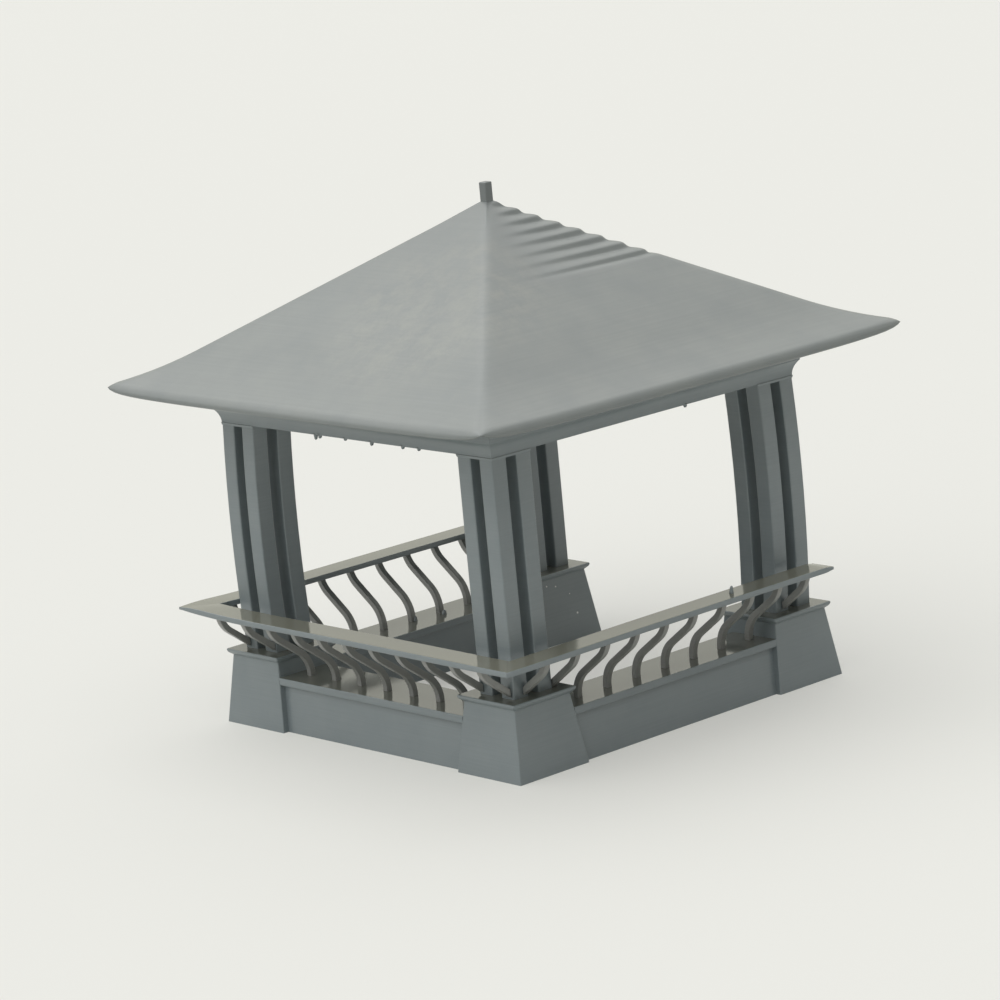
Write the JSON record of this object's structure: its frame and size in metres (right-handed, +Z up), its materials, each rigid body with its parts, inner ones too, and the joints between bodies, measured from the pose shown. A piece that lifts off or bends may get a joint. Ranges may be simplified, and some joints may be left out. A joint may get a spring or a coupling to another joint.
{
  "type": "model garden gazebo",
  "caption": "Small resin-printed model of a square garden pavilion: battered corner plinths, clustered posts, benches with an S-curved balustrade, and a hipped roof with flared eaves.",
  "frame": {"origin": "centre of the base on the ground", "axes": "+Z up, -Y towards the open entrance side, +X to the right seen from the entrance"},
  "size_m": [0.0446, 0.0446, 0.0418],
  "materials": {
    "resin": "satin blue-grey printing resin with fine layer lines, bright at a low angle of view",
    "roof_resin": "satin blue-grey printing resin, paler where the layers step"
  },
  "bodies": {
    "root": {"plinth_back_left": "resin", "plinth_back_right": "resin", "plinth_front_left": "resin", "plinth_front_right": "resin", "cap_back_left": "resin", "cap_back_right": "resin", "cap_front_left": "resin", "cap_front_right": "resin", "back_wall": "resin", "left_wall": "resin", "right_wall": "resin", "back_seat": "resin", "left_seat": "resin", "right_seat": "resin", "posts_back_left": "resin", "posts_back_right": "resin", "posts_front_left": "resin", "posts_front_right": "resin", "capital_back_left": "resin", "capital_back_right": "resin", "capital_front_left": "resin", "capital_front_right": "resin", "back_beam": "resin", "left_beam": "resin", "right_beam": "resin", "front_beam": "resin", "back_rail": "resin", "left_rail": "resin", "right_rail": "resin", "back_balusters": "resin", "left_balusters": "resin", "right_balusters": "resin", "roof_back": "roof_resin", "roof_left": "roof_resin", "roof_right": "roof_resin", "roof_front": "roof_resin", "finial": "roof_resin"}
  },
  "joints": []
}
